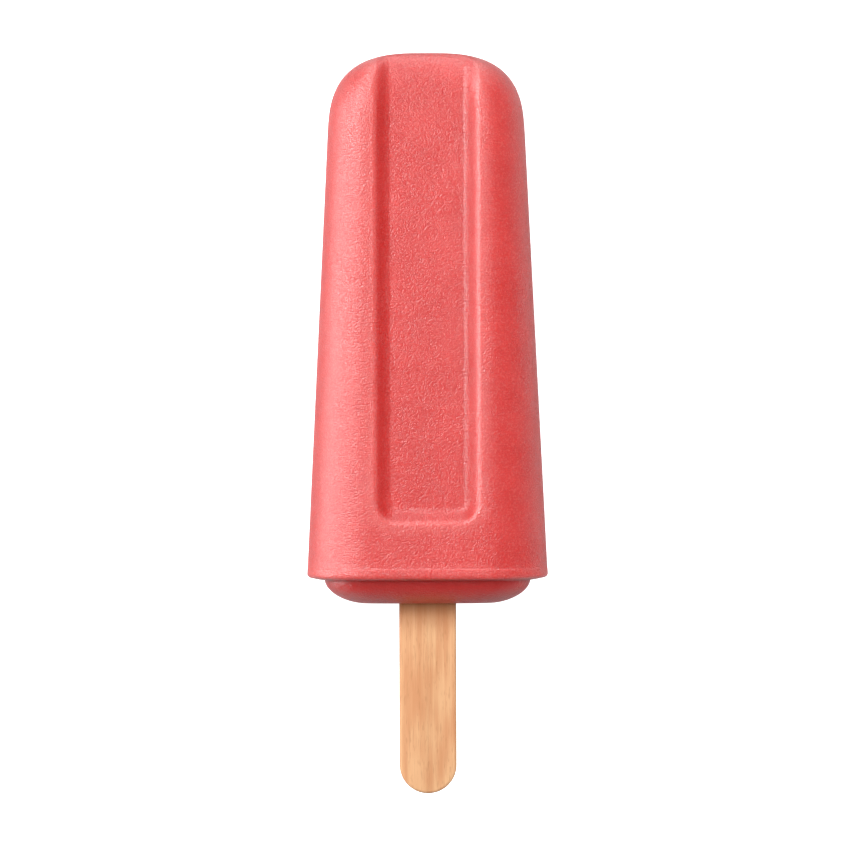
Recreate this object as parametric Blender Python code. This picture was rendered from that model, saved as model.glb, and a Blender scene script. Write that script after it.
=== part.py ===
"""An ice pop lying on its back: a moulded bar of red fruit sorbet, frozen onto a flat wooden stick.

The bar is modelled in its own frame first. X runs across it, Y along it from the stick to the tip, with
Y = 0 at the underside of the lip, and Z out of the front face. It is then laid down on its back rails.
All sizes are in metres.
"""

import math

import bmesh
import bpy
from mathutils import Matrix, Vector

MM = 0.001

# The bar, which is drawn out of its mould by the stick and so narrows towards the tip
BAR_LENGTH = 92.1 * MM  # from the underside of the lip to the tip
LIP_WIDTH = 42.3 * MM
SHOULDER_WIDTH = 34.7 * MM  # where the tip's dome begins
LIP_THICKNESS = 22.0 * MM
SHOULDER_THICKNESS = 18.2 * MM
FLAT_HALF = 10.2 * MM  # the middle of each face is flat this far either side
SIDE_ROUNDNESS = 2.2  # 2 is an ellipse, and more is squarer
DOME_LENGTH = 14.6 * MM
DOME_ROUNDNESS = 3.0

# The band that the mould's rim leaves round the wide end, and the lip's rounded lower edge
LIP_HEIGHT = 1.6 * MM
LIP_PROUD_OF_FACE = 0.15 * MM
LIP_PROUD_OF_SIDE = 0.03 * MM
LIP_EDGE_HEIGHT = 0.8 * MM
LIP_EDGE_INTO_FACE = 0.5 * MM
LIP_EDGE_INTO_SIDE = 1.0 * MM
LIP_EDGE_STEPS = 4

# The low domed foot under the lip, which the stick comes out of
FOOT_HALF_WIDTH = 18.05 * MM
FOOT_HALF_THICKNESS = 8.4 * MM
FOOT_DEPTH = 4.45 * MM
FOOT_ROUNDNESS = 1.8
FOOT_BOTTOM_HALF_WIDTH = 11.0 * MM
FOOT_BOTTOM_HALF_THICKNESS = 2.4 * MM

# The sunk panel on each face, which runs out through the tip
PANEL_HALF_WIDTH = 7.05 * MM  # of its floor
PANEL_DEPTH = 2.6 * MM
PANEL_END = 11.8 * MM  # where its floor ends, above the lip's underside
PANEL_CORNER_RADIUS = 1.4 * MM
PANEL_WALL_SLOPE = math.tan(math.radians(52))
PANEL_EDGE_BLEND = 1.1 * MM
PANEL_FLOOR_BLEND = 0.9 * MM
PANEL_ROLL_START = 6.5 * MM  # below the tip, where the floor starts to roll over
PANEL_ROLL_RADIUS = 22.0 * MM

# The stick, a standard flat one
STICK_LENGTH = 114.0 * MM
STICK_WIDTH = 10.0 * MM
STICK_THICKNESS = 2.0 * MM
STICK_OUT = 33.4 * MM  # how much of it shows below the foot
STICK_EDGE_RADIUS = 0.35 * MM
STICK_END_SEGMENTS = 14
STICK_END_SHARE = 0.4995  # of the width: just under half, so that the two rounded corners don't meet
CLEARANCE = 0.3 * MM  # between the stick and the ice round it

# How finely the bar is divided
ARC_COLUMNS = 8
PANEL_COLUMNS = 10  # across the panel's wall, on one side of one face
FLOOR_COLUMNS = 2
WALL_INSIDE = 0.8 * MM  # the columns of the wall start this far inside the floor's edge
WALL_OUTSIDE = 3.2 * MM  # and end this far outside it
FULL_COLUMNS_HALF_WIDTH = 12.0 * MM  # a narrower ring draws its columns together
FOOT_RINGS = 7
END_RINGS = 14  # over the lower end of the panel
SIDE_RINGS = 3  # from there to the shoulder
DOME_RINGS = 14
LAST_RING_DROP = 0.02 * MM  # the flat spot on the tip lies this far down the dome
ON_AXIS = 1e-4  # of the primitive's radius, which is 1
SHARP_EDGE = math.radians(35)

SORBET_RED = (0.80, 0.115, 0.11, 1.0)
SORBET_ROUGHNESS = 0.42
BIRCH = (0.83, 0.53, 0.29, 1.0)
BIRCH_ROUGHNESS = 0.6


def smooth_min(a, b, blend):
    """The lower of two heights, with the edge between them rounded over a height of blend."""
    overlap = max(blend - abs(a - b), 0.0) / blend
    return min(a, b) - overlap * overlap * blend / 4


def smooth_max(a, b, blend):
    """The higher of two heights, with the corner between them filled in the same way."""
    return -smooth_min(-a, -b, blend)


def between(start, end, share):
    return start + (end - start) * share


def dome_share(y):
    """How much of its straight-sided size the bar keeps at y: 1 up to the dome, then down to 0 at the tip."""
    along = max(0.0, (y - (BAR_LENGTH - DOME_LENGTH)) / DOME_LENGTH)
    return (1 - min(1.0, along) ** DOME_ROUNDNESS) ** (1 / DOME_ROUNDNESS)


def tapered_half(lip_size, shoulder_size, y):
    """Half of a size that falls evenly from the lip to the shoulder and on to the tip."""
    return between(lip_size, shoulder_size, y / (BAR_LENGTH - DOME_LENGTH)) / 2


class Ring:
    """One cross-section of the bar, at y: its half-width, half-thickness, and whether the panels reach it."""

    def __init__(self, y, half_width, half_thickness, panelled=False):
        self.y = y
        self.half_width = half_width
        self.half_thickness = half_thickness
        self.panelled = panelled
        self.flat_half = FLAT_HALF * min(1.0, half_width / (SHOULDER_WIDTH / 2))

    def body_height(self, x):
        """Height of the plain rounded section above its middle plane, x from the centre line."""
        side = max(0.0, x - self.flat_half) / (self.half_width - self.flat_half)
        return self.half_thickness * (1 - min(1.0, side) ** SIDE_ROUNDNESS) ** (1 / SIDE_ROUNDNESS)

    def panel_height(self, x):
        """Height of the panel's floor and of the wall that rises from its rounded outline."""
        rolled = max(0.0, self.y - (BAR_LENGTH - PANEL_ROLL_START))
        straight_half = tapered_half(LIP_THICKNESS, SHOULDER_THICKNESS, self.y)
        floor = straight_half - PANEL_DEPTH - rolled * rolled / (2 * PANEL_ROLL_RADIUS)
        past_side = x - (PANEL_HALF_WIDTH - PANEL_CORNER_RADIUS)
        past_end = (PANEL_END + PANEL_CORNER_RADIUS) - self.y
        outside = math.hypot(max(past_side, 0.0), max(past_end, 0.0)) + min(max(past_side, past_end), 0.0)
        wall = floor + (outside - PANEL_CORNER_RADIUS) * PANEL_WALL_SLOPE
        return smooth_max(floor, wall, PANEL_FLOOR_BLEND)

    def height(self, x):
        body = self.body_height(x)
        if not self.panelled:
            return body
        return smooth_min(body, self.panel_height(x), PANEL_EDGE_BLEND)

    def quarter(self):
        """Points (x, z) of a quarter of the ring, from its side, where z is 0, to the centre line."""
        draw_in = min(1.0, self.half_width / FULL_COLUMNS_HALF_WIDTH)
        outer = (PANEL_HALF_WIDTH + WALL_OUTSIDE) * draw_in
        inner = (PANEL_HALF_WIDTH - WALL_INSIDE) * draw_in
        share = (outer - self.flat_half) / (self.half_width - self.flat_half)
        top_angle = math.acos(share ** (SIDE_ROUNDNESS / 2))
        points = []
        for step in range(ARC_COLUMNS):
            angle = top_angle * step / ARC_COLUMNS
            across = math.cos(angle) ** (2 / SIDE_ROUNDNESS)
            up = math.sin(angle) ** (2 / SIDE_ROUNDNESS)
            x = self.flat_half + (self.half_width - self.flat_half) * across
            points.append((x, self.half_thickness * up))
        columns = [between(outer, inner, step / PANEL_COLUMNS) for step in range(PANEL_COLUMNS)]
        columns += [between(inner, 0.0, step / FLOOR_COLUMNS) for step in range(FLOOR_COLUMNS + 1)]
        points += [(x, self.height(x)) for x in columns]
        return points


QUARTER = ARC_COLUMNS + PANEL_COLUMNS + FLOOR_COLUMNS


def body_ring(y, past_side=0.0, past_face=0.0):
    """The ring of the bar at y, standing past its tapered sides and faces by these amounts."""
    share = dome_share(y)
    half_width = tapered_half(LIP_WIDTH, SHOULDER_WIDTH, y) * share + past_side
    half_thickness = tapered_half(LIP_THICKNESS, SHOULDER_THICKNESS, y) * share + past_face
    return Ring(y, half_width, half_thickness, panelled=y > 2 * LIP_HEIGHT)


def foot_rings():
    """From the flat bottom of the foot, round its side, and up to the underside of the lip."""
    rings = []
    for step in range(FOOT_RINGS + 1):
        turn = math.pi / 2 * (1 - step / FOOT_RINGS)
        down = math.sin(turn) ** (2 / FOOT_ROUNDNESS)
        out = math.cos(turn) ** (2 / FOOT_ROUNDNESS)
        half_width = between(FOOT_BOTTOM_HALF_WIDTH, FOOT_HALF_WIDTH, out)
        half_thickness = between(FOOT_BOTTOM_HALF_THICKNESS, FOOT_HALF_THICKNESS, out)
        rings.append(Ring(-FOOT_DEPTH * down, half_width, half_thickness))
    return rings


def lip_rings():
    """Round the lip's lower edge, up its band, and back in to the bar's side."""
    rings = []
    for step in range(LIP_EDGE_STEPS + 1):
        turn = math.pi / 2 * step / LIP_EDGE_STEPS
        inward = 1 - math.sin(turn)
        past_side = LIP_PROUD_OF_SIDE - LIP_EDGE_INTO_SIDE * inward
        past_face = LIP_PROUD_OF_FACE - LIP_EDGE_INTO_FACE * inward
        rings.append(body_ring(LIP_EDGE_HEIGHT * (1 - math.cos(turn)), past_side, past_face))
    rings.append(body_ring(LIP_HEIGHT, LIP_PROUD_OF_SIDE, LIP_PROUD_OF_FACE))
    rings.append(body_ring(LIP_HEIGHT + LIP_PROUD_OF_FACE))
    return rings


def side_stations():
    """Where the rings of the straight sides lie: close together over the end of the panel."""
    end_wall = PANEL_DEPTH / PANEL_WALL_SLOPE
    low = PANEL_END - end_wall - PANEL_EDGE_BLEND
    high = PANEL_END + PANEL_CORNER_RADIUS + PANEL_FLOOR_BLEND
    shoulder = BAR_LENGTH - DOME_LENGTH
    stations = [between(low, high, step / END_RINGS) for step in range(END_RINGS + 1)]
    stations += [between(high, shoulder, step / SIDE_RINGS) for step in range(1, SIDE_RINGS + 1)]
    return stations


def dome_stations():
    """Where the dome's rings lie, so that the steps round it are even."""
    last = 1 - LAST_RING_DROP / DOME_LENGTH
    stations = []
    for step in range(1, DOME_RINGS + 1):
        along = last * math.sin(math.pi / 2 * step / DOME_RINGS) ** (2 / DOME_ROUNDNESS)
        stations.append(BAR_LENGTH - DOME_LENGTH * (1 - along))
    return stations


def side_of(value):
    """1, -1 or, on the axis, 0."""
    return math.copysign(1, value) if abs(value) > ON_AXIS else 0


def mesh_object(name, bm, collection):
    """The finished bmesh as an object, shaded smooth but for its sharp edges."""
    bmesh.ops.recalc_face_normals(bm, faces=bm.faces)
    mesh = bpy.data.meshes.new(name)
    bm.to_mesh(mesh)
    bm.free()
    mesh.shade_smooth()
    mesh.set_sharp_from_angle(angle=SHARP_EDGE)
    obj = bpy.data.objects.new(name, mesh)
    collection.objects.link(obj)
    return obj


def bar_object(collection, material):
    """A closed cylinder whose rings and columns are set out to the bar's cross-sections."""
    rings = foot_rings() + lip_rings()
    rings += [body_ring(y) for y in side_stations() + dome_stations()]
    quarters = [ring.quarter() for ring in rings]
    around = 4 * QUARTER

    bm = bmesh.new()
    bmesh.ops.create_cone(bm, cap_ends=True, segments=around, radius1=1, radius2=1, depth=1)
    uprights = [edge for edge in bm.edges if abs(edge.verts[0].co.z - edge.verts[1].co.z) > 0.5]
    bmesh.ops.subdivide_edges(bm, edges=uprights, cuts=len(rings) - 2, use_grid_fill=True)
    for vert in bm.verts:
        ring = round((vert.co.z + 0.5) * (len(rings) - 1))
        # Each vertex folds into the quarter from the side (column 0) to the centre line (the last column)
        turn = math.degrees(math.atan2(abs(vert.co.y), abs(vert.co.x))) / 90
        x, z = quarters[ring][round(turn * QUARTER)]
        vert.co = Vector((x * side_of(vert.co.x), rings[ring].y, z * side_of(vert.co.y)))
    bar = mesh_object("sorbet_bar", bm, collection)
    bar.data.materials.append(material)
    return bar


def flat_stick(name, collection, length, width, thickness, edge_radius=0.0):
    """A flat stick with round ends, its lower end at the origin and its length along Y."""
    bm = bmesh.new()
    size = Matrix.Diagonal((width, length, thickness, 1.0))
    bmesh.ops.create_cube(bm, size=1.0, matrix=Matrix.Translation((0, length / 2, 0)) @ size)
    corners = [edge for edge in bm.edges if abs(edge.verts[0].co.z - edge.verts[1].co.z) > thickness / 2]
    bmesh.ops.bevel(
        bm,
        geom=corners,
        offset=width * STICK_END_SHARE,
        offset_type="OFFSET",
        segments=STICK_END_SEGMENTS,
        profile=0.5,
        affect="EDGES",
    )
    if edge_radius:
        rim = [edge for edge in bm.edges if abs(edge.calc_face_angle(0.0)) > math.radians(80)]
        bmesh.ops.bevel(
            bm,
            geom=rim,
            offset=edge_radius,
            offset_type="OFFSET",
            segments=2,
            profile=0.5,
            affect="EDGES",
        )
    return mesh_object(name, bm, collection)


def stick_object(collection, material):
    stick = flat_stick("stick", collection, STICK_LENGTH, STICK_WIDTH, STICK_THICKNESS, STICK_EDGE_RADIUS)
    stick.data.materials.append(material)
    stick.location.y = -(FOOT_DEPTH + STICK_OUT)
    return stick


def slot_cutter(collection):
    """The slot that the stick fills in the bar, grown all round by the clearance."""
    cutter = flat_stick(
        "stick_slot",
        collection,
        STICK_LENGTH + 2 * CLEARANCE,
        STICK_WIDTH + 2 * CLEARANCE,
        STICK_THICKNESS + 2 * CLEARANCE,
    )
    cutter.location.y = -(FOOT_DEPTH + STICK_OUT + CLEARANCE)
    cutter.hide_render = True
    cutter.display_type = "WIRE"
    return cutter


def finish_material(name, colour, roughness):
    material = bpy.data.materials.new(name)
    material.use_nodes = True
    shader = material.node_tree.nodes["Principled BSDF"]
    shader.inputs["Base Color"].default_value = colour
    shader.inputs["Roughness"].default_value = roughness
    shader.inputs["Metallic"].default_value = 0.0
    return material


def lay_down(pieces, cutter, collection):
    """Hangs everything on an empty that turns the bar onto its back, so that its lip and the rails' far
    ends touch the ground, with the middle of the pieces' bounding box over the origin."""
    lip_touches = tapered_half(LIP_THICKNESS, SHOULDER_THICKNESS, LIP_HEIGHT) + LIP_PROUD_OF_FACE
    rise = lip_touches - SHOULDER_THICKNESS / 2
    pitch = -math.atan2(rise, BAR_LENGTH - DOME_LENGTH - LIP_HEIGHT)
    turn = Matrix.Rotation(pitch, 3, "X")
    points = [turn @ (vert.co + piece.location) for piece in pieces for vert in piece.data.vertices]
    low = Vector([min(point[axis] for point in points) for axis in range(3)])
    high = Vector([max(point[axis] for point in points) for axis in range(3)])

    holder = bpy.data.objects.new("ice_pop", None)
    collection.objects.link(holder)
    holder.rotation_euler.x = pitch
    holder.location = (-(low.x + high.x) / 2, -(low.y + high.y) / 2, -low.z)
    for obj in [*pieces, cutter]:
        obj.parent = holder


def main():
    for obj in list(bpy.data.objects):
        bpy.data.objects.remove(obj)
    parts = bpy.data.collections.new("ice_pop")
    cutters = bpy.data.collections.new("cutters")
    bpy.context.scene.collection.children.link(parts)
    bpy.context.scene.collection.children.link(cutters)

    bar = bar_object(parts, finish_material("sorbet", SORBET_RED, SORBET_ROUGHNESS))
    stick = stick_object(parts, finish_material("birch", BIRCH, BIRCH_ROUGHNESS))
    slot = slot_cutter(cutters)
    cut = bar.modifiers.new("stick_slot", "BOOLEAN")
    cut.operation = "DIFFERENCE"
    cut.solver = "EXACT"
    cut.object = slot
    lay_down([bar, stick], slot, parts)


main()
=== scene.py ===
"""An ice pop of red fruit sorbet on a wooden stick, lying on its back on a pale studio floor."""

import math

import bpy
from mathutils import Matrix, Vector


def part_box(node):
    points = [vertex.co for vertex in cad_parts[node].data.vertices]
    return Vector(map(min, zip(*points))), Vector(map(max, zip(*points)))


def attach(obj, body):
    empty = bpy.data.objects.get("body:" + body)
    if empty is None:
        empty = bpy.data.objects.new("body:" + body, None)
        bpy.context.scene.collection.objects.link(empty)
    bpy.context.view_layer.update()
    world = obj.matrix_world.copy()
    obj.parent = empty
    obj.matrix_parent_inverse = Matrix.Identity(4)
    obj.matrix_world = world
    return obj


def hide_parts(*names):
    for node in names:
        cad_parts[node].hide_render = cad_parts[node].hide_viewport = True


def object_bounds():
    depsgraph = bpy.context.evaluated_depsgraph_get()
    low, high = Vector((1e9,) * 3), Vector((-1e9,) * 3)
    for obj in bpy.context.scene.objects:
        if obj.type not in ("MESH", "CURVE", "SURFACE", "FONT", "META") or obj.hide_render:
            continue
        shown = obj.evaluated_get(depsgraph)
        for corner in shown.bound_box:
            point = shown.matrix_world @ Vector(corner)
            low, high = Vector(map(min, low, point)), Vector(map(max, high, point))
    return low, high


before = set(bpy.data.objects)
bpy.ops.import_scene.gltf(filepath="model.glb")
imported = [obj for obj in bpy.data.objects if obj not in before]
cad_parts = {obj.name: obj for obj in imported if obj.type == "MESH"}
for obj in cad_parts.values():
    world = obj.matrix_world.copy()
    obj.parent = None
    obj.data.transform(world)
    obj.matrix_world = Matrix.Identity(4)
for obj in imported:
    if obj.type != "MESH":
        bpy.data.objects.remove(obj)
cad_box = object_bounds()
MM = 0.001


# ---- How it lies ----
# Face up, on the bar's lip and on the far ends of its rails, which tips the whole ice pop a little.

LIP_THICKNESS = 22.0 * MM
SHOULDER_THICKNESS = 18.2 * MM
BAR_LENGTH = 92.1 * MM  # from the underside of the lip to the tip
DOME_LENGTH = 14.6 * MM
LIP_HEIGHT = 1.6 * MM
LIP_PROUD_OF_FACE = 0.15 * MM
SHOULDER = BAR_LENGTH - DOME_LENGTH
LIP_TOUCHES = LIP_THICKNESS / 2 - (LIP_THICKNESS - SHOULDER_THICKNESS) / 2 * LIP_HEIGHT / SHOULDER
PITCH = -math.atan2(LIP_TOUCHES + LIP_PROUD_OF_FACE - SHOULDER_THICKNESS / 2, SHOULDER - LIP_HEIGHT)


# ---- Tools for both pieces ----


def select_only(obj):
    bpy.ops.object.select_all(action="DESELECT")
    obj.select_set(True)
    bpy.context.view_layer.objects.active = obj


def select_edges(obj, wanted):
    """Selects in edit mode the edges whose two ends the test accepts."""
    bpy.ops.object.mode_set(mode="EDIT")
    bpy.ops.mesh.select_mode(type="EDGE")
    bpy.ops.mesh.select_all(action="DESELECT")
    bpy.ops.object.mode_set(mode="OBJECT")
    for edge in obj.data.edges:
        ends = [obj.data.vertices[index].co for index in edge.vertices]
        edge.select = wanted(*ends)
    bpy.ops.object.mode_set(mode="EDIT")


def lay_in_place(obj, node, along, up):
    """Tips a piece as the ice pop lies, and moves it to its CAD node's box: along Y it meets the box's
    low or high side, up Z its low side or its middle, and across it is centred."""
    select_only(obj)
    obj.rotation_euler.x = PITCH
    bpy.ops.object.transform_apply(location=False, rotation=True, scale=False)
    low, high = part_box(node)
    mine = [[vert.co[axis] for vert in obj.data.vertices] for axis in range(3)]
    ends = {"low": lambda axis: low[axis] - min(mine[axis]),
            "high": lambda axis: high[axis] - max(mine[axis]),
            "middle": lambda axis: (low[axis] + high[axis] - min(mine[axis]) - max(mine[axis])) / 2}
    obj.location = (ends["middle"](0), ends[along](1), ends[up](2))
    bpy.ops.object.transform_apply(location=True, rotation=False, scale=False)


class Wire:
    """An output of a material's node. Arithmetic on it adds Math nodes, and node() adds any other."""

    def __init__(self, tree, socket=None):
        self.tree = tree
        self.socket = socket

    def node(self, kind, settings=None, inputs=None, output=0):
        made = self.tree.nodes.new(kind)
        for name, value in (settings or {}).items():
            setattr(made, name, value)
        for name, value in (inputs or {}).items():
            if isinstance(value, Wire):
                self.tree.links.new(value.socket, made.inputs[name])
            else:
                made.inputs[name].default_value = value
        return Wire(self.tree, made.outputs[output])

    def maths(self, operation, *values):
        return self.node("ShaderNodeMath", {"operation": operation}, dict(enumerate(values)))

    def __add__(self, other):
        return self.maths("ADD", self, other)

    def __radd__(self, other):
        return self.maths("ADD", other, self)

    def __sub__(self, other):
        return self.maths("SUBTRACT", self, other)

    def __mul__(self, other):
        return self.maths("MULTIPLY", self, other)

    def blend(self, low, high):
        """The colour low where this number is 0, and high where it is 1."""
        return self.node("ShaderNodeMix", {"data_type": "RGBA"}, {0: self, 6: low, 7: high}, output=2)

    def rise(self, low, high):
        """This number made 0 at low and below, and 1 at high and above, or the other way round."""
        ranges = {"Value": self, "From Min": low, "From Max": high}
        return self.node("ShaderNodeMapRange", {"interpolation_type": "SMOOTHSTEP"}, ranges)

    def feed(self, shader, name):
        self.tree.links.new(self.socket, shader.inputs[name])


def new_material(name, **constants):
    """A material, its shader with these constants, and a Wire to start its pattern from."""
    material = bpy.data.materials.new(name)
    material.use_nodes = True
    shader = material.node_tree.nodes["Principled BSDF"]
    for socket, value in constants.items():
        shader.inputs[socket.replace("_", " ")].default_value = value
    return material, shader, Wire(material.node_tree)


def noise(start, place, grain, detail=2.0, roughness=0.5, distortion=0.0):
    """Noise about 0.5 whose lumps are about one grain across."""
    inputs = {"Vector": place, "Scale": 1 / grain, "Detail": detail, "Roughness": roughness,
              "Distortion": distortion}
    return start.node("ShaderNodeTexNoise", {}, inputs)


# ---- The stick ----
# A flat stick of birch veneer, cut with round ends and tumbled until its edges are smooth. It stood in
# the mould while the sorbet froze round it, so it reaches most of the way up the bar.

stick_low, stick_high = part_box("stick")
STICK_WIDTH = stick_high.x - stick_low.x
STICK_LENGTH = 114.0 * MM
STICK_THICKNESS = 2.0 * MM
STICK_OUT = 33.4 * MM  # past the foot of the bar
END_STEPS = 24
END_SHARE = 0.4995  # of the width: just under half, so that an end's two corners don't meet
EDGE_RADIUS = 0.55 * MM
EDGE_STEPS = 5

bpy.ops.object.select_all(action="DESELECT")
bpy.ops.mesh.primitive_cube_add(size=1.0)
stick = bpy.context.object
stick.name = "birch_stick"
stick.scale = (STICK_WIDTH, STICK_LENGTH, STICK_THICKNESS)
bpy.ops.object.transform_apply(location=False, rotation=False, scale=True)
select_edges(stick, lambda a, b: abs(a.z - b.z) > STICK_THICKNESS / 2)
bpy.ops.mesh.bevel(offset=STICK_WIDTH * END_SHARE, segments=END_STEPS, profile=0.5)
select_edges(stick, lambda a, b: abs(a.z - b.z) < STICK_THICKNESS / 2 and a.z * b.z > 0)
bpy.ops.mesh.bevel(offset=EDGE_RADIUS, segments=EDGE_STEPS, profile=0.5)
bpy.ops.object.mode_set(mode="OBJECT")
select_only(stick)
bpy.ops.object.shade_smooth_by_angle(angle=math.radians(35))
lay_in_place(stick, "stick", "low", "middle")

birch, birch_shader, wood = new_material("birch_wood", Roughness=0.55, Specular_IOR_Level=0.35)
here = wood.node("ShaderNodeTexCoord", output="Object")
# Birch grain is a bundle of fine straight lines, so its noise is drawn out along the stick
along_stick = wood.node("ShaderNodeMapping", {}, {"Vector": here, "Scale": (1.0, 0.025, 1.0)})
streaks = noise(wood, along_stick, 0.9 * MM, detail=4.0, roughness=0.65, distortion=0.4)
fibres = noise(wood, along_stick, 0.16 * MM, detail=2.0, roughness=0.6)
half_along_stick = wood.node("ShaderNodeMapping", {}, {"Vector": here, "Scale": (1.0, 0.3, 1.0)})
patches = noise(wood, half_along_stick, 3.5 * MM, detail=1.5)
dashes = wood.node("ShaderNodeMapping", {}, {"Vector": here, "Scale": (1.0, 0.16, 1.0)})
flecks = noise(wood, dashes, 0.3 * MM, detail=1.0)
PALE_WOOD = (0.65, 0.375, 0.195, 1.0)
ORANGE_WOOD = (0.53, 0.245, 0.115, 1.0)
FIBRE_WOOD = (0.36, 0.165, 0.07, 1.0)
BAR_SHADOW_WOOD = (0.29, 0.095, 0.03, 1.0)
colour = (streaks * 0.7 + patches * 0.8 - 0.25).rise(0.3, 0.75).blend(PALE_WOOD, ORANGE_WOOD)
colour = (fibres.rise(0.5, 0.8) * 0.45 + flecks.rise(0.6, 0.72) * 0.3).blend(colour, FIBRE_WOOD)
# Painted shadow: the wood next to the bar is darkened where the bar's foot shades it
BAR_SHADOW_LENGTH = 5.5 * MM
BAR_SHADOW_INSIDE = 2.0 * MM
foot_end = stick_low.y + STICK_OUT * math.cos(PITCH)
up_stick = wood.node("ShaderNodeSeparateXYZ", {}, {"Vector": here}, output="Y")
bar_shadow = (up_stick + streaks * 1.5 * MM).rise(foot_end - BAR_SHADOW_LENGTH, foot_end + BAR_SHADOW_INSIDE)
colour = (bar_shadow * 0.85).blend(colour, BAR_SHADOW_WOOD)
colour.feed(birch_shader, "Base Color")
bump = wood.node("ShaderNodeBump", {}, {"Strength": 0.35, "Distance": 0.03 * MM,
                                        "Height": fibres * 0.7 + streaks * 0.5})
bump.feed(birch_shader, "Normal")
stick.data.materials.clear()
stick.data.materials.append(birch)
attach(stick, "root")
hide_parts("stick")


# ---- The sorbet bar ----
# Fruit sorbet frozen in a steel mould that tapers towards the tip and has a raised panel on each wall,
# which leaves a sunk panel on each face. The rim of the mould leaves a lip round the wide end, and what
# stood above the rim froze into the low domed foot that the stick comes out of.

LIP_WIDTH = 42.3 * MM
SHOULDER_WIDTH = 34.7 * MM
FLAT_HALF = 10.2 * MM  # the middle of each face is flat this far either side
SIDE_ROUNDNESS = 2.2  # 2 is an ellipse, and more is squarer
DOME_ROUNDNESS = 3.0
LIP_PROUD_OF_SIDE = 0.03 * MM
LIP_STEP = 0.35 * MM  # how far along the bar the band takes to run out
LIP_EDGE_HEIGHT = 0.8 * MM
LIP_EDGE_INTO_FACE = 0.5 * MM
LIP_EDGE_INTO_SIDE = 1.0 * MM
FOOT_HALF_WIDTH = 18.05 * MM
FOOT_HALF_THICKNESS = 8.4 * MM
FOOT_DEPTH = 4.45 * MM
FOOT_ROUNDNESS = 1.8
FOOT_BOTTOM_HALF_WIDTH = 11.0 * MM
FOOT_BOTTOM_HALF_THICKNESS = 2.4 * MM
FOOT_DROP = 0.35 * MM  # the lip's underside slopes down this far to the foot
PANEL_HALF_WIDTH = 6.95 * MM  # of its floor
PANEL_DEPTH = 2.6 * MM
PANEL_END = 11.8 * MM  # where its floor ends, above the lip's underside
PANEL_CORNER_RADIUS = 1.4 * MM
PANEL_WALL_SLOPE = math.tan(math.radians(52))
PANEL_EDGE_BLEND = 0.6 * MM
PANEL_FLOOR_BLEND = 0.8 * MM
PANEL_ROLL_START = 6.5 * MM  # below the tip, where the floor starts to roll over
PANEL_ROLL_RADIUS = 22.0 * MM
PANEL_TIP_BLEND = 3.6 * MM  # at the tip, where its edge has softened until it runs out
PANEL_SOFTENING = 9.75 * MM  # how far from the tip its edge starts to soften
SLOT_GAP = 0.03 * MM  # between the stick and the ice
SLOT_MOUTH_RADIUS = 0.25 * MM
SLOT_CORNER = 1.3 * EDGE_RADIUS  # how far across the slot the rounding of its corners reaches
LAST_RING_BELOW_TIP = 0.004 * MM

ARC_COLUMNS = 26
WALL_COLUMNS = 34
FLOOR_COLUMNS = 8
QUARTER = ARC_COLUMNS + WALL_COLUMNS + FLOOR_COLUMNS
FULL_COLUMNS_HALF_WIDTH = 12.0 * MM  # a narrower ring draws its columns together
WALL_OUTSIDE = 3.2 * MM
WALL_INSIDE = 1.0 * MM


def between(start, end, share):
    return start + (end - start) * share


def steps(start, end, count):
    """Evenly spaced values after start, up to and with end."""
    return [between(start, end, step / count) for step in range(1, count + 1)]


def soft_min(a, b, blend):
    """The lower of two heights, with the edge between them rounded over a height of blend."""
    overlap = max(blend - abs(a - b), 0.0) / blend
    return min(a, b) - overlap * overlap * blend / 4


def half_at(lip_size, shoulder_size, y):
    """Half of a size that falls evenly from the lip to the shoulder and on to the tip."""
    return between(lip_size, shoulder_size, y / SHOULDER) / 2


def panel_outside(x, y):
    """How far a place is outside the rounded outline of the panel's floor."""
    past_side = x - (PANEL_HALF_WIDTH - PANEL_CORNER_RADIUS)
    past_end = (PANEL_END + PANEL_CORNER_RADIUS) - y
    outside = math.hypot(max(past_side, 0.0), max(past_end, 0.0)) + min(max(past_side, past_end), 0.0)
    return outside - PANEL_CORNER_RADIUS


def panel_height(x, y):
    """Height of the panel's floor and of the wall that rises from its outline."""
    rolled = max(0.0, y - (BAR_LENGTH - PANEL_ROLL_START))
    floor = half_at(LIP_THICKNESS, SHOULDER_THICKNESS, y) - PANEL_DEPTH
    floor -= rolled * rolled / (2 * PANEL_ROLL_RADIUS)
    wall = floor + panel_outside(x, y) * PANEL_WALL_SLOPE
    return -soft_min(-floor, -wall, PANEL_FLOOR_BLEND)


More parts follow.
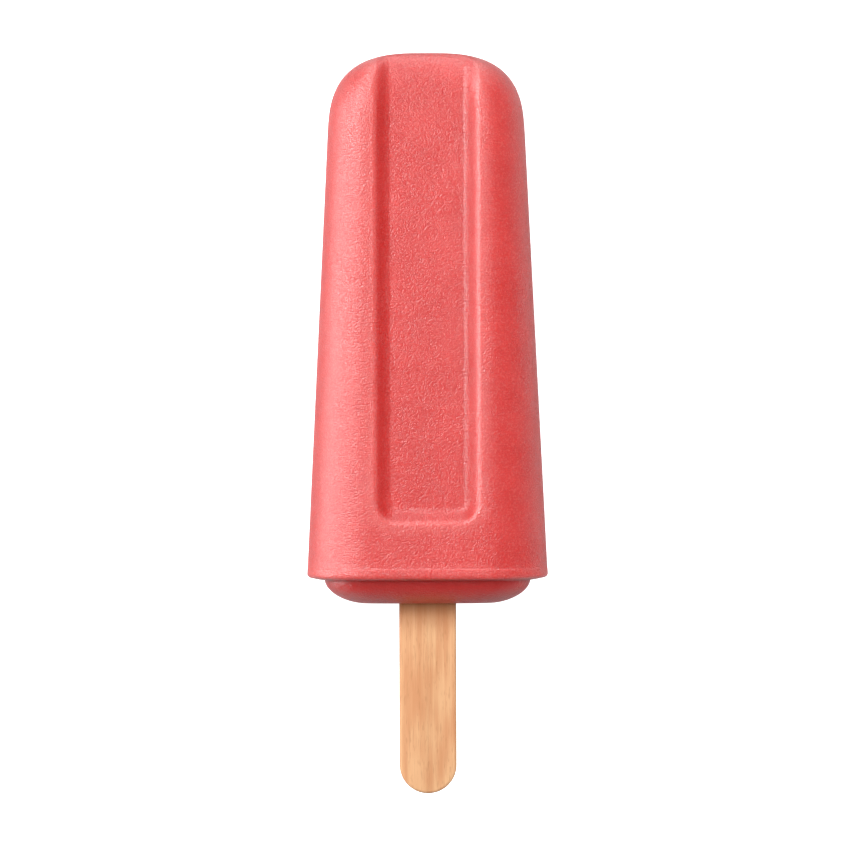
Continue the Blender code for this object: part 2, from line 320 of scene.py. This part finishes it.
class Ring:
    """One cross-section of the bar: flat faces joined by rounded sides, with or without its panels."""

    def __init__(self, y, half_width, half_thickness, flat_half=None, panels=False):
        self.y = y
        self.half_width = half_width
        self.half_thickness = half_thickness
        self.flat_half = flat_half or FLAT_HALF * min(1.0, half_width / (SHOULDER_WIDTH / 2))
        self.panels = panels

    def height(self, x):
        side = max(0.0, x - self.flat_half) / (self.half_width - self.flat_half)
        body = self.half_thickness * (1 - min(1.0, side) ** SIDE_ROUNDNESS) ** (1 / SIDE_ROUNDNESS)
        if not self.panels:
            return body
        softened = max(0.0, 1 - (BAR_LENGTH - self.y) / PANEL_SOFTENING)
        blend = between(PANEL_EDGE_BLEND, PANEL_TIP_BLEND, softened ** 1.5)
        return max(0.0, soft_min(body, panel_height(x, self.y), blend))

    def quarter(self):
        """Points (x, z) from the side, where z is 0, up and in to the middle of the face."""
        draw_in = min(1.0, self.half_width / FULL_COLUMNS_HALF_WIDTH)
        outer = max((PANEL_HALF_WIDTH + WALL_OUTSIDE) * draw_in, self.flat_half)
        inner = (PANEL_HALF_WIDTH - WALL_INSIDE) * draw_in
        reach = self.half_width - self.flat_half
        top_angle = math.acos(((outer - self.flat_half) / reach) ** (SIDE_ROUNDNESS / 2))
        points = []
        for angle in [0.0, *steps(0.0, top_angle, ARC_COLUMNS)][:-1]:
            across = math.cos(angle) ** (2 / SIDE_ROUNDNESS)
            up = math.sin(angle) ** (2 / SIDE_ROUNDNESS)
            points.append((self.flat_half + reach * across, self.half_thickness * up))
        columns = [outer, *steps(outer, inner, WALL_COLUMNS), *steps(inner, 0.0, FLOOR_COLUMNS)]
        return points + [(x, self.height(x)) for x in columns]


def slot_rings():
    """The slot that the stick fills, from its inner end to its rounded mouth in the foot."""
    half_width = STICK_WIDTH / 2 + SLOT_GAP
    half_thickness = STICK_THICKNESS / 2 + SLOT_GAP
    inner_end = STICK_LENGTH - STICK_OUT - FOOT_DEPTH + SLOT_GAP
    mouth = -FOOT_DEPTH + SLOT_MOUTH_RADIUS
    flat_half = half_width - SLOT_CORNER
    rings = [Ring(y, half_width, half_thickness, flat_half) for y in steps(inner_end, mouth, 12)]
    for turn in steps(0.0, math.pi / 2, 4):
        wider = SLOT_MOUTH_RADIUS * (1 - math.cos(turn))
        y = mouth - SLOT_MOUTH_RADIUS * math.sin(turn)
        rings.append(Ring(y, half_width + wider, half_thickness + wider, flat_half))
    return rings


def foot_rings(mouth):
    """Out over the foot's flat bottom, round its side, and in under the lip."""
    bottom = Ring(-FOOT_DEPTH, FOOT_BOTTOM_HALF_WIDTH, FOOT_BOTTOM_HALF_THICKNESS)
    rings = []
    for share in steps(0.0, 1.0, 5):
        half_width = between(mouth.half_width, bottom.half_width, share)
        half_thickness = between(mouth.half_thickness, bottom.half_thickness, share)
        flat_half = between(mouth.flat_half, bottom.flat_half, share)
        rings.append(Ring(-FOOT_DEPTH, half_width, half_thickness, flat_half))
    for turn in steps(math.pi / 2, 0.0, 22):
        down = between(FOOT_DROP, FOOT_DEPTH, math.sin(turn) ** (2 / FOOT_ROUNDNESS))
        out = math.cos(turn) ** (2 / FOOT_ROUNDNESS)
        half_width = between(FOOT_BOTTOM_HALF_WIDTH, FOOT_HALF_WIDTH, out)
        half_thickness = between(FOOT_BOTTOM_HALF_THICKNESS, FOOT_HALF_THICKNESS, out)
        rings.append(Ring(-down, half_width, half_thickness))
    return rings


def body_ring(y, past_side=0.0, past_face=0.0):
    """The ring of the bar at y, standing past its tapered sides and faces by these amounts."""
    along = max(0.0, (y - SHOULDER) / DOME_LENGTH)
    share = (1 - min(1.0, along) ** DOME_ROUNDNESS) ** (1 / DOME_ROUNDNESS)
    half_width = half_at(LIP_WIDTH, SHOULDER_WIDTH, y) * share + past_side
    half_thickness = half_at(LIP_THICKNESS, SHOULDER_THICKNESS, y) * share + past_face
    return Ring(y, half_width, half_thickness, panels=y > 2 * LIP_HEIGHT)


def lip_rings(foot):
    """Out along the lip's underside, round its lower edge, up its band and back to the bar's side."""
    edge = body_ring(0.0, LIP_PROUD_OF_SIDE - LIP_EDGE_INTO_SIDE, LIP_PROUD_OF_FACE - LIP_EDGE_INTO_FACE)
    rings = []
    for share in steps(0.0, 1.0, 6)[:-1]:
        half_width = between(foot.half_width, edge.half_width, share)
        half_thickness = between(foot.half_thickness, edge.half_thickness, share)
        rings.append(Ring(between(foot.y, 0.0, share ** 1.5), half_width, half_thickness))
    for turn in [0.0, *steps(0.0, math.pi / 2, 8)]:
        inward = 1 - math.sin(turn)
        past_side = LIP_PROUD_OF_SIDE - LIP_EDGE_INTO_SIDE * inward
        past_face = LIP_PROUD_OF_FACE - LIP_EDGE_INTO_FACE * inward
        rings.append(body_ring(LIP_EDGE_HEIGHT * (1 - math.cos(turn)), past_side, past_face))
    rings += [body_ring(y, LIP_PROUD_OF_SIDE, LIP_PROUD_OF_FACE)
              for y in steps(LIP_EDGE_HEIGHT, LIP_HEIGHT, 4)]
    for share in steps(0.0, 1.0, 6):
        left = (1 + math.cos(math.pi * share)) / 2
        y = LIP_HEIGHT + LIP_STEP * share
        rings.append(body_ring(y, LIP_PROUD_OF_SIDE * left, LIP_PROUD_OF_FACE * left))
    return rings


def side_and_dome_rings(start):
    """Up the straight sides, closely over the lower end of the panel, and over the dome to the tip."""
    low = PANEL_END - PANEL_DEPTH / PANEL_WALL_SLOPE - PANEL_EDGE_BLEND
    high = PANEL_END + PANEL_CORNER_RADIUS + PANEL_FLOOR_BLEND
    places = steps(start, low, 10) + steps(low, high, 46) + steps(high, SHOULDER, 70)
    last = 1 - LAST_RING_BELOW_TIP / DOME_LENGTH
    for turn in steps(0.0, math.pi / 2, 54):
        along = last * math.sin(turn) ** (2 / DOME_ROUNDNESS)
        places.append(BAR_LENGTH - DOME_LENGTH * (1 - along))
    return [body_ring(y) for y in places]


rings = slot_rings()
rings += foot_rings(rings[-1])
rings += lip_rings(rings[-1])
rings += side_and_dome_rings(rings[-1].y)
quarters = [ring.quarter() for ring in rings]

# A sphere has the bar's closed grid of rings and columns: its south pole goes to the end of the slot,
# and its north pole to the tip
bpy.ops.object.select_all(action="DESELECT")
bpy.ops.mesh.primitive_uv_sphere_add(segments=4 * QUARTER, ring_count=len(rings) + 1, radius=1.0)
bar = bpy.context.object
bar.name = "sorbet_bar_ice"
for vert in bar.data.vertices:
    x, z, y = vert.co
    ring = round(math.acos(max(-1.0, min(1.0, -y))) / math.pi * (len(rings) + 1)) - 1
    if ring < 0:
        vert.co = (0.0, rings[0].y, 0.0)
    elif ring == len(rings):
        vert.co = (0.0, BAR_LENGTH, 0.0)
    else:
        column = round(math.atan2(abs(z), abs(x)) / (math.pi / 2) * QUARTER)
        across, height = quarters[ring][column]
        side = 0 if column == QUARTER else math.copysign(1, x)
        face = 0 if column == 0 else math.copysign(1, -z)
        vert.co = (across * side, rings[ring].y, height * face)

# Painted highlight lightens the rim round each panel, and painted reflection lightens the band of the lip,
# where the ice stood proud of the mould. Painted shade darkens the foot under the lip to a deeper red, and
# the panels' walls less so.
PANEL_WALL_RUN = PANEL_DEPTH / PANEL_WALL_SLOPE
HIGHLIGHT_INSIDE_RIM = 0.45 * MM
HIGHLIGHT_OUTSIDE_RIM = 2.0 * MM
LIP_SHEEN_HALF = 0.7 * LIP_HEIGHT
LIP_SHEEN = 0.4
FOOT_SHADE_EDGE = 0.5 * MM
WALL_SHADE = 0.5
painted_highlight = bar.data.attributes.new("painted_highlight", "FLOAT", "POINT")
painted_shade = bar.data.attributes.new("painted_shade", "FLOAT", "POINT")
for vert, highlit, clear in zip(bar.data.vertices, painted_highlight.data, painted_shade.data):
    past_rim = panel_outside(abs(vert.co.x), vert.co.y) - PANEL_WALL_RUN
    highlight_reach = HIGHLIGHT_INSIDE_RIM if past_rim < 0 else HIGHLIGHT_OUTSIDE_RIM
    on_rim = math.exp(-(past_rim / highlight_reach) ** 2) if vert.co.y > LIP_HEIGHT else 0.0
    on_lip = math.exp(-((vert.co.y - LIP_HEIGHT / 2) / LIP_SHEEN_HALF) ** 4)
    highlit.value = min(1.0, on_rim + LIP_SHEEN * on_lip)
    # clear holds painted shade: darker on the foot under the lip, and on the panels' walls
    in_foot = max(0.0, min(1.0, 0.5 - vert.co.y / FOOT_SHADE_EDGE))
    on_wall = max(0.0, 1 - abs(2 * past_rim / PANEL_WALL_RUN + 1)) if vert.co.y > LIP_HEIGHT else 0.0
    clear.value = max(in_foot, WALL_SHADE * on_wall)
select_only(bar)
bpy.ops.object.shade_smooth()
lay_in_place(bar, "sorbet_bar", "high", "low")

sorbet, ice_shader, ice = new_material(
    "frozen_sorbet", IOR=1.55, Specular_IOR_Level=1.0, Subsurface_Weight=1.0, Subsurface_Scale=1.5 * MM)
ice_shader.inputs["Subsurface Radius"].default_value = (1.0, 0.3, 0.25)
here = ice.node("ShaderNodeTexCoord", output="Object")
clouds = noise(ice, here, 7.0 * MM, detail=3.0, roughness=0.55)
# A skin of tiny ice crystals covers the bar, and where the ice stuck to the mould it tore into a crinkle
grains = noise(ice, here, 0.24 * MM, detail=1.0, roughness=0.5)
crystals = noise(ice, here, 0.33 * MM, detail=0.0).rise(0.5, 0.72)
stuck = noise(ice, here, 4.5 * MM, detail=2.0, roughness=0.6).rise(0.3, 0.7)
slanted = ice.node("ShaderNodeMapping", {}, {"Vector": here, "Rotation": (0.0, 0.0, math.radians(-35)),
                                             "Scale": (1.0, 1.9, 1.0)})
crinkle = ice.node("ShaderNodeTexVoronoi", {}, {"Vector": slanted, "Scale": 1 / (0.54 * MM)})
painted_highlight = ice.node("ShaderNodeAttribute", {"attribute_name": "painted_highlight"}, output="Fac")
painted_shade = ice.node("ShaderNodeAttribute", {"attribute_name": "painted_shade"}, output="Fac")
DEEP_RED = (0.515, 0.033, 0.030, 1.0)
BRIGHT_RED = (0.625, 0.060, 0.055, 1.0)
FROST_AND_HIGHLIGHT_PINK = (0.72, 0.22, 0.21, 1.0)
CREASE_SHADE_RED = (0.44, 0.028, 0.026, 1.0)
SHADE_RED = (0.50, 0.016, 0.013, 1.0)
ice_colour = (clouds * 0.4 + grains * 0.6).rise(0.25, 0.75).blend(DEEP_RED, BRIGHT_RED)
# Painted highlight along the panels' rims and painted reflection on the lip lighten the colour, and the
# crystals speckle it
ice_colour = (painted_highlight * 0.3 + crystals * 0.22).blend(ice_colour, FROST_AND_HIGHLIGHT_PINK)
# Painted shade darkens the crinkle's creases
ice_colour = (crinkle.rise(0.4, 0.8) * (0.1 + stuck * 0.1)).blend(ice_colour, CREASE_SHADE_RED)
# Painted shade: the foot under the lip and the panels' walls are darkened to a deeper red
ice_colour = (painted_shade * 0.8).blend(ice_colour, SHADE_RED)
ice_colour.feed(ice_shader, "Base Color")
(0.27 + clouds * 0.06 + grains * 0.06).feed(ice_shader, "Roughness")
FROST_RELIEF = 0.1 * MM
frost = ice.node("ShaderNodeBump", {}, {
    "Strength": 1.0, "Distance": FROST_RELIEF,
    "Height": grains * 1.2 - crinkle * (0.38 + stuck * 0.22) + clouds * 0.4})
frost.feed(ice_shader, "Normal")
bar.data.materials.clear()
bar.data.materials.append(sorbet)
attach(bar, "root")
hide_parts("sorbet_bar")


# ---- The studio ----
# The ice pop lies on a pale light table. A large soft light stands high on its left towards the tip, a low
# one on its left and one past its tip edge it with light, and two even ones fill in from the right and
# above. The camera has a long lens and looks squarely at the bar's face.

low, high = cad_box
centre = (low + high) / 2


def ground(name, height, colour, glow):
    """A wide flat sheet under the ice pop."""
    bpy.ops.object.select_all(action="DESELECT")
    bpy.ops.mesh.primitive_plane_add(size=4.0, location=(0.0, 0.0, height))
    bpy.ops.object.transform_apply(location=True, rotation=False, scale=False)
    sheet = bpy.context.object
    sheet.name = name
    paper, shader, _ = new_material(name, Base_Color=colour, Roughness=0.9, Specular_IOR_Level=0.0)
    shader.inputs["Emission Color"].default_value = (1.0, 1.0, 1.0, 1.0)
    shader.inputs["Emission Strength"].default_value = glow
    sheet.data.materials.append(paper)
    return sheet


# What shows of the floor glows like a light table, so that the shadow on it stays faint, but the bar
# takes its light from below from a plain white card
light_table = ground("light_table", low.z, (0.88, 0.88, 0.88, 1.0), 0.85)
light_table.visible_diffuse = False
light_table.visible_glossy = False
light_table.visible_shadow = False
white_card = ground("white_card", low.z - 0.5 * MM, (0.45, 0.45, 0.45, 1.0), 0.0)
white_card.visible_camera = False


def soft_light(name, around, up, distance, width, height, radiance, spread=True, glints=True):
    """A softbox facing the ice pop, this many degrees round from +X and up, which may be flagged off
    so that it only adds glints, or only lights the piece evenly."""
    light = bpy.data.lights.new(name, "AREA")
    light.shape = "RECTANGLE"
    light.size = width
    light.size_y = height
    light.energy = radiance * math.pi * width * height
    lamp = bpy.data.objects.new(name, light)
    bpy.context.scene.collection.objects.link(lamp)
    around = math.radians(around)
    up = math.radians(up)
    toward = Vector((math.cos(around) * math.cos(up), math.sin(around) * math.cos(up), math.sin(up)))
    lamp.location = centre + toward * distance
    lamp.rotation_euler = toward.to_track_quat("Z", "Y").to_euler()
    lamp.visible_diffuse = spread
    lamp.visible_glossy = glints


soft_light("key_light", 142, 47, 0.7, 0.36, 0.36, 11.2)
soft_light("left_light", 180, 6, 0.7, 0.7, 0.2, 8.8)
soft_light("tip_light", 90, 5, 0.7, 0.5, 0.2, 6.5, spread=False)
soft_light("right_light", 20, 40, 0.7, 0.5, 0.5, 4.1, glints=False)
soft_light("top_light", 0, 85, 0.9, 0.5, 0.5, 4.2, glints=False)

world = bpy.data.worlds.new("studio")
world.use_nodes = True
world.node_tree.nodes["Background"].inputs["Color"].default_value = (1.0, 1.0, 1.0, 1.0)
world.node_tree.nodes["Background"].inputs["Strength"].default_value = 0.14
bpy.context.scene.world = world
bpy.context.scene.view_settings.view_transform = "Standard"

CAMERA_DISTANCE = 0.9
VIEW_WIDTH = 149.2 * MM
AIM_OFF_CENTRE = Vector((-0.37 * MM, -0.29 * MM, 0.0))
CAMERA_ROLL = math.radians(-0.17)
camera_data = bpy.data.cameras.new("camera")
camera_data.angle = 2 * math.atan(VIEW_WIDTH / 2 / CAMERA_DISTANCE)
camera_data.clip_start = 0.01
camera = bpy.data.objects.new("camera", camera_data)
bpy.context.scene.collection.objects.link(camera)
aim = centre + AIM_OFF_CENTRE
camera.location = aim + CAMERA_DISTANCE * Vector((0.0, -math.sin(PITCH), math.cos(PITCH)))
camera.rotation_euler = (Matrix.Rotation(PITCH, 3, "X") @ Matrix.Rotation(CAMERA_ROLL, 3, "Z")).to_euler()
bpy.context.scene.camera = camera
